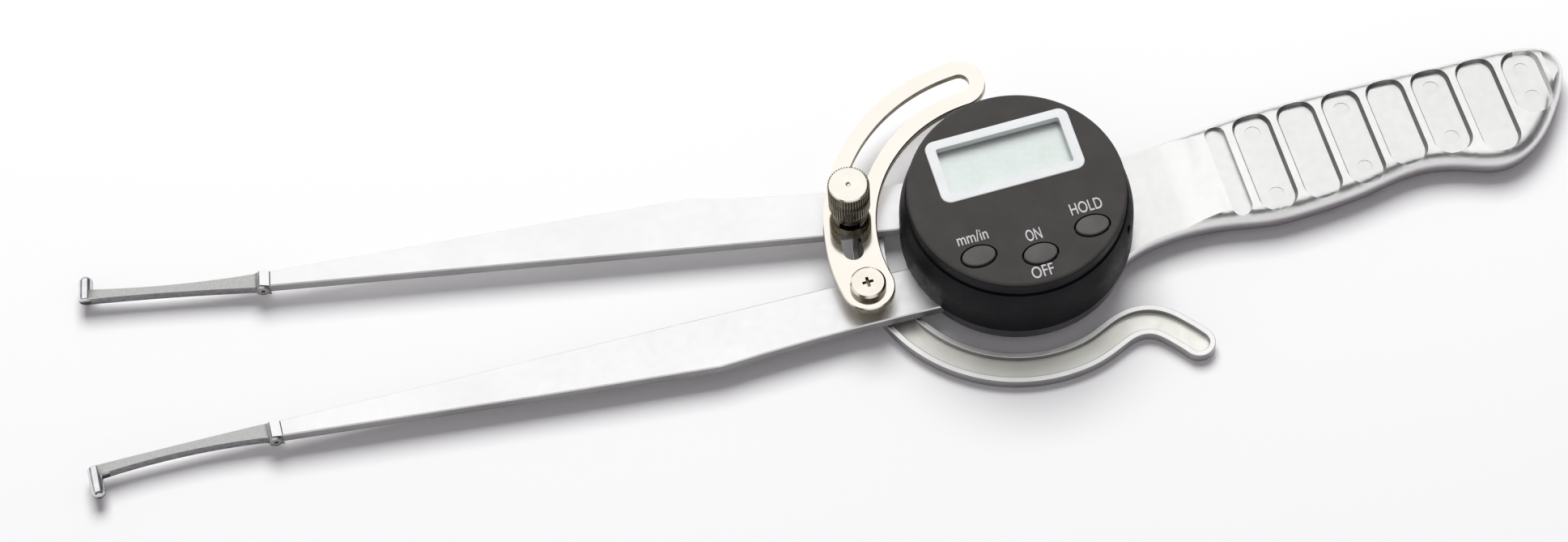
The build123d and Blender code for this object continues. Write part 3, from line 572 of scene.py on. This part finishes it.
def breakEdges(name, mesh, width, crease):
    holder = bpy.data.objects.new(name + "Work", mesh)
    scene.collection.objects.link(holder)
    soften = holder.modifiers.new("broken edges", "BEVEL")
    soften.width = width
    soften.segments = seam["edgeSteps"]
    soften.limit_method = "ANGLE"
    soften.angle_limit = crease
    soften.harden_normals = True
    softened = plainMesh(holder)
    bpy.data.objects.remove(holder)
    return softened


def takeOver(node, setup):
    choose = setup.get("choose")
    crease = math.radians(setup.get("crease", seam["crease"]))
    work = bmesh.new()
    work.from_mesh(frame["nodes"][node].data)
    bmesh.ops.remove_doubles(work, verts=work.verts, dist=seam["mergeReach"] * mm)
    if "breakEdge" in setup:
        flatWithin = math.radians(seam["flatWithin"])
        bmesh.ops.dissolve_limit(work, angle_limit=flatWithin, verts=work.verts, edges=work.edges)
    for edge in work.edges:
        edge.smooth = len(edge.link_faces) == 2 and edge.calc_face_angle(0.0) < crease
    for face in work.faces:
        face.smooth = True
        face.material_index = choose(face, setup) if choose else 0
    mesh = bpy.data.meshes.new(setup["name"])
    work.to_mesh(mesh)
    work.free()
    for finish in setup["finishes"]:
        mesh.materials.append(finishes[finish])
    if "breakEdge" in setup:
        mesh = breakEdges(setup["name"], mesh, setup["breakEdge"] * mm, crease)
    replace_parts(addPiece(setup["name"], mesh, bodyOf[node]), node)


for node, setup in shells.items():
    takeOver(node, setup)

# The solids inside keep their own shapes
hiddenFinishes = {
    "pivot_bush": "bearingBronze",
    "thrust_washer": "bearingBronze",
    "pivot_shaft": "brightSteel",
    "pivot_clip": "brightSteel",
    "return_spring": "brightSteel",
    "encoder_rotor": "boardLaminate",
    "encoder_stator": "boardLaminate",
    "rotor_screw": "brightSteel",
    "circuit_board": "boardLaminate",
    "board_screws": "brightSteel",
    "lcd_connectors": "connectorRubber",
    "button_cell": "brightSteel",
}
for node, finish in hiddenFinishes.items():
    for holder in frame["nodes"][node].material_slots:
        holder.material = finishes[finish]
print("stage: solids dressed")

# Knurled lock screw: a turned body with ribs set round its head. The profile is radius and level
lockScrew = {
    "center": lockAt,
    "profile": [
        (0.0, 27.35), (0.25, 27.32), (0.55, 27.62), (0.75, 27.7), (4.55, 27.7), (4.85, 27.6), (5.12, 27.25),
        (5.12, 17.5), (4.9, 17.1), (4.4, 16.9), (4.15, 16.75), (4.1, 16.3), (4.15, 15.95), (4.3, 15.8),
        (4.4, 15.5), (4.4, 13.75), (4.25, 13.52), (2.35, 13.5), (2.35, 4.7), (2.1, 4.5), (0.0, 4.5),
    ],
    "turns": 72,
    "crease": 28,
    "mergeReach": 0.001,
    "finishes": ["lockFace", "lockKnurl", "lockCollar"],
    "faceFrom": 27.0,
    "collarTop": 17.2,
    "ribs": 46,
    "ribRadius": 0.23,
    "ribSides": 10,
    "ribBottom": 17.35,
    "ribTop": 27.3,
    "ribCircle": 5.16,
}


def ribTree(setup, ribFinish):
    tree = bpy.data.node_groups.new("knurlRibs", "GeometryNodeTree")
    tree.interface.new_socket("Geometry", in_out="OUTPUT", socket_type="NodeSocketGeometry")
    sizes = [
        ("Ribs", "NodeSocketInt", setup["ribs"]),
        ("Rib Sides", "NodeSocketInt", setup["ribSides"]),
        ("Rib Radius", "NodeSocketFloat", setup["ribRadius"] * mm),
        ("Rib Height", "NodeSocketFloat", (setup["ribTop"] - setup["ribBottom"]) * mm),
        ("Circle", "NodeSocketFloat", setup["ribCircle"] * mm),
        ("Center", "NodeSocketVector", (*setup["center"], (setup["ribTop"] + setup["ribBottom"]) / 2 * mm)),
    ]
    inputs = []
    for name, kind, value in sizes:
        socket = tree.interface.new_socket(name, in_out="INPUT", socket_type=kind)
        inputs.append((socket.identifier, value))
    join = tree.links.new
    start = tree.nodes.new("NodeGroupInput")
    end = tree.nodes.new("NodeGroupOutput")
    circle = tree.nodes.new("GeometryNodeMeshCircle")
    join(start.outputs["Ribs"], circle.inputs["Vertices"])
    join(start.outputs["Circle"], circle.inputs["Radius"])
    rib = tree.nodes.new("GeometryNodeMeshCylinder")
    join(start.outputs["Rib Sides"], rib.inputs["Vertices"])
    join(start.outputs["Rib Radius"], rib.inputs["Radius"])
    join(start.outputs["Rib Height"], rib.inputs["Depth"])
    smooth = tree.nodes.new("GeometryNodeSetShadeSmooth")
    join(rib.outputs["Mesh"], smooth.inputs["Geometry"])
    join(rib.outputs["Side"], smooth.inputs["Selection"])
    place = tree.nodes.new("GeometryNodeInstanceOnPoints")
    join(circle.outputs["Mesh"], place.inputs["Points"])
    join(smooth.outputs["Geometry"], place.inputs["Instance"])
    move = tree.nodes.new("GeometryNodeTransform")
    join(place.outputs["Instances"], move.inputs["Geometry"])
    join(start.outputs["Center"], move.inputs["Translation"])
    real = tree.nodes.new("GeometryNodeRealizeInstances")
    join(move.outputs["Geometry"], real.inputs["Geometry"])
    paint = tree.nodes.new("GeometryNodeSetMaterial")
    paint.inputs["Material"].default_value = ribFinish
    join(real.outputs["Geometry"], paint.inputs["Geometry"])
    join(paint.outputs["Geometry"], end.inputs["Geometry"])
    return tree, inputs


def turnedBody(setup):
    work = bmesh.new()
    center = Vector((*setup["center"], 0))
    places = [center + Vector((radius * mm, 0, level * mm)) for radius, level in setup["profile"]]
    side = [work.verts.new(place) for place in places]
    edges = [work.edges.new(pair) for pair in zip(side, side[1:])]
    turns = setup["turns"]
    bmesh.ops.spin(work, geom=side + edges, cent=center, axis=(0, 0, 1), angle=math.tau, steps=turns)
    bmesh.ops.remove_doubles(work, verts=work.verts, dist=setup["mergeReach"] * mm)
    bmesh.ops.recalc_face_normals(work, faces=work.faces)
    for edge in work.edges:
        edge.smooth = edge.calc_face_angle(0.0) < math.radians(setup["crease"])
    for face in work.faces:
        face.smooth = True
        level = face.calc_center_median().z
        # The collar and the knurl take painted-shade copies of the face's nickel
        if level <= setup["collarTop"] * mm:
            face.material_index = 2
        else:
            onFace = level > setup["faceFrom"] * mm and face.normal.z > 0 and not isSide(face)
            face.material_index = 0 if onFace else 1
    mesh = bpy.data.meshes.new("turnedBody")
    work.to_mesh(mesh)
    work.free()
    for finish in setup["finishes"]:
        mesh.materials.append(finishes[finish])
    return mesh


def addLockScrew(setup):
    body = turnedBody(setup)
    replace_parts(addPiece("lockScrew", body, "lock_screw"), "lock_screw")
    holder = bpy.data.objects.new("lockRibsWork", bpy.data.meshes.new("lockRibsStart"))
    scene.collection.objects.link(holder)
    tree, inputs = ribTree(setup, finishes["lockKnurl"])
    ribs = holder.modifiers.new("knurl", "NODES")
    ribs.node_group = tree
    for identifier, value in inputs:
        ribs[identifier] = value
    mesh = plainMesh(holder)
    bpy.data.objects.remove(holder)
    mesh.materials.clear()
    mesh.materials.append(finishes["lockKnurl"])  # the tree leaves an empty first slot
    print("stage: ribs made,", len(mesh.polygons), "faces")
    addPiece("lockScrewRibs", mesh, "lock_screw")


addLockScrew(lockScrew)
print("stage: lock screw knurled")

# White legends on the face: plain words for what the buttons do, each with its place and width
legends = {
    "words": [
        ("mm/in", (-14.9, -11.6), 8.0),
        ("ON", (0.1, -15.5), 4.0),
        ("HOLD", (15.1, -11.6), 8.3),
        ("OFF", (-0.9, -26.1), 5.7),
    ],
    "faceLevel": 28.0,
    "rise": 0.03,
    "thickness": 0.01,
    "weight": 0.03,
    "height": 3.25,
    "capitalShare": 0.69,
    "curveSteps": 6,
}


def addLegend(word, place, width, setup):
    curve = bpy.data.curves.new("legend", "FONT")
    curve.body = word
    curve.size = setup["height"] * mm / setup["capitalShare"]
    curve.align_x = "CENTER"
    curve.extrude = setup["thickness"] * mm
    curve.offset = setup["weight"] * mm
    curve.resolution_u = setup["curveSteps"]
    holder = bpy.data.objects.new("legendWork", curve)
    scene.collection.objects.link(holder)
    mesh = plainMesh(holder)
    bpy.data.objects.remove(holder)
    reach = max(point.co.x for point in mesh.vertices) - min(point.co.x for point in mesh.vertices)
    squeeze = Matrix.Diagonal((width * mm / reach, 1.0, 1.0, 1.0))
    level = (setup["faceLevel"] + setup["rise"] - setup["thickness"]) * mm
    mesh.transform(Matrix.Translation((place[0] * mm, place[1] * mm, level)) @ squeeze)
    mesh.materials.append(finishes["labelInk"])
    addPiece("legend" + word.title().replace("/", ""), mesh, "frame")


for word, place, width in legends["words"]:
    addLegend(word, place, width, legends)
print("stage: legends added")

# Studio: pale floor, one broad lamp behind the tool, and a room that the metal mirrors.
# An edge or a wall is an axis and where along it the light fades in; a wall's last value is its level.
studio = {
    "floorSize": 6.0,
    "floorColor": (0.92, 0.92, 0.92),
    "floorRoughness": 0.9,
    "floorCloud": (3.0, 1.0),
    "floorLift": 0.04,
    "floorLevel": -0.0002,
    "lampPower": 38.5,
    "lampSize": 1.2,
    "lampPlace": (0.12, 1.03, 1.66),
    "lampAim": (-0.03, 0.0, 0.0),
    "roomStrength": 0.27,
    "roomColor": (0.98, 0.94, 0.99),
    "panelLevel": 1.06,
    "darkLevel": 0.10,
    "panelEdges": [
        ("Y", -0.36, -0.06),
        ("Z", 0.20, 0.62),
        ("X", -0.90, -0.60),
        ("X", 0.66, 0.38),
    ],
    "walls": [
        ("Y", 0.55, 0.85, 0.32),
        ("X", 0.86, 0.98, 0.45),
        ("X", -0.72, -0.92, 0.75),
        ("Y", -0.68, -0.88, 0.75),
    ],
}


def addFloor(setup):
    work = bmesh.new()
    bmesh.ops.create_grid(work, x_segments=1, y_segments=1, size=setup["floorSize"] / 2)
    mesh = bpy.data.meshes.new("studioFloor")
    work.to_mesh(mesh)
    work.free()
    finish = Finish("floorPaper", setup["floorRoughness"])
    finish.colors(finish.noise(*setup["floorCloud"]), setup["floorColor"], setup["floorColor"])
    finish.shader.inputs["Specular IOR Level"].default_value = 0.0
    # Seen directly or in a reflection, the paper is lifted to white and still keeps the shadow
    path = finish.add("ShaderNodeLightPath")
    seen = finish.add("ShaderNodeMath", operation="MAXIMUM")
    finish.join(path, "Is Camera Ray", seen, 0)
    finish.join(path, "Is Glossy Ray", seen, 1)
    lift = finish.add("ShaderNodeMath", operation="MULTIPLY")
    lift.inputs[1].default_value = setup["floorLift"]
    finish.join(seen, 0, lift, 0)
    finish.shader.inputs["Emission Color"].default_value = (1.0, 1.0, 1.0, 1.0)
    finish.join(lift, 0, finish.shader, "Emission Strength")
    mesh.materials.append(finish.material)
    floor = bpy.data.objects.new("studioFloor", mesh)
    floor.location.z = setup["floorLevel"]
    scene.collection.objects.link(floor)


def addLamp(setup):
    data = bpy.data.lights.new("broadLamp", "AREA")
    data.shape = "SQUARE"
    data.size = setup["lampSize"]
    data.energy = setup["lampPower"]
    lamp = bpy.data.objects.new("broadLamp", data)
    lamp.visible_glossy = False
    place = Vector(setup["lampPlace"])
    lamp.location = place
    lamp.rotation_mode = "QUATERNION"
    lamp.rotation_quaternion = (Vector(setup["lampAim"]) - place).to_track_quat("-Z", "Y")
    scene.collection.objects.link(lamp)


def addRoom(setup):
    world = bpy.data.worlds.new("studioRoom")
    scene.world = world
    world.use_nodes = True
    tree = world.node_tree
    tree.nodes.clear()
    join = tree.links.new

    def add(kind, **values):
        node = tree.nodes.new(kind)
        for key, value in values.items():
            setattr(node, key, value)
        return node

    def fade(source, start, end, low=0.0, high=1.0):
        node = add("ShaderNodeMapRange", interpolation_type="SMOOTHSTEP")
        for name, value in (("From Min", start), ("From Max", end), ("To Min", low), ("To Max", high)):
            node.inputs[name].default_value = value
        join(source, node.inputs["Value"])
        return node.outputs["Result"]

    def combine(operation, result, *others):
        for other in others:
            node = add("ShaderNodeMath", operation=operation)
            join(result, node.inputs[0])
            join(other, node.inputs[1])
            result = node.outputs[0]
        return result

    def mix(share, one, two):
        node = add("ShaderNodeMixShader")
        for socket, output in enumerate((share, one, two)):
            join(output, node.inputs[socket])
        return node.outputs[0]

    def background(color=(1.0, 1.0, 1.0), strength=1.0):
        node = add("ShaderNodeBackground")
        node.inputs["Color"].default_value = (*color, 1.0)
        node.inputs["Strength"].default_value = strength
        return node

    place = add("ShaderNodeTexCoord")
    split = add("ShaderNodeSeparateXYZ")
    join(place.outputs["Generated"], split.inputs["Vector"])
    # A broad white panel overhead, dark round it, and a paler wall on each of the four sides
    edges = [fade(split.outputs[axis], start, end) for axis, start, end in setup["panelEdges"]]
    inPanel = combine("MULTIPLY", *edges)
    levels = [fade(inPanel, 0.0, 1.0, setup["darkLevel"], setup["panelLevel"])]
    for axis, start, end, wallLevel in setup["walls"]:
        levels.append(fade(split.outputs[axis], start, end, 0.0, wallLevel))
    panels = background()
    join(combine("MAXIMUM", *levels), panels.inputs["Strength"])

    path = add("ShaderNodeLightPath")
    # Only what the viewer sees mirrored shows the panels, so that metal throws no light on the floor
    early = add("ShaderNodeMath", operation="LESS_THAN")
    early.inputs[1].default_value = 0.5  # no dull bounce before
    join(path.outputs["Diffuse Depth"], early.inputs[0])
    inMirror = combine("MULTIPLY", path.outputs["Is Glossy Ray"], early.outputs[0])
    light = background(setup["roomColor"], setup["roomStrength"])
    mirrored = mix(inMirror, light.outputs[0], panels.outputs[0])
    looked = combine("MAXIMUM", path.outputs["Is Camera Ray"], path.outputs["Is Transmission Ray"])
    output = add("ShaderNodeOutputWorld")
    join(mix(looked, mirrored, background().outputs[0]), output.inputs["Surface"])


addFloor(studio)
addLamp(studio)
addRoom(studio)
scene.view_settings.view_transform = "Standard"
print("stage: studio set")
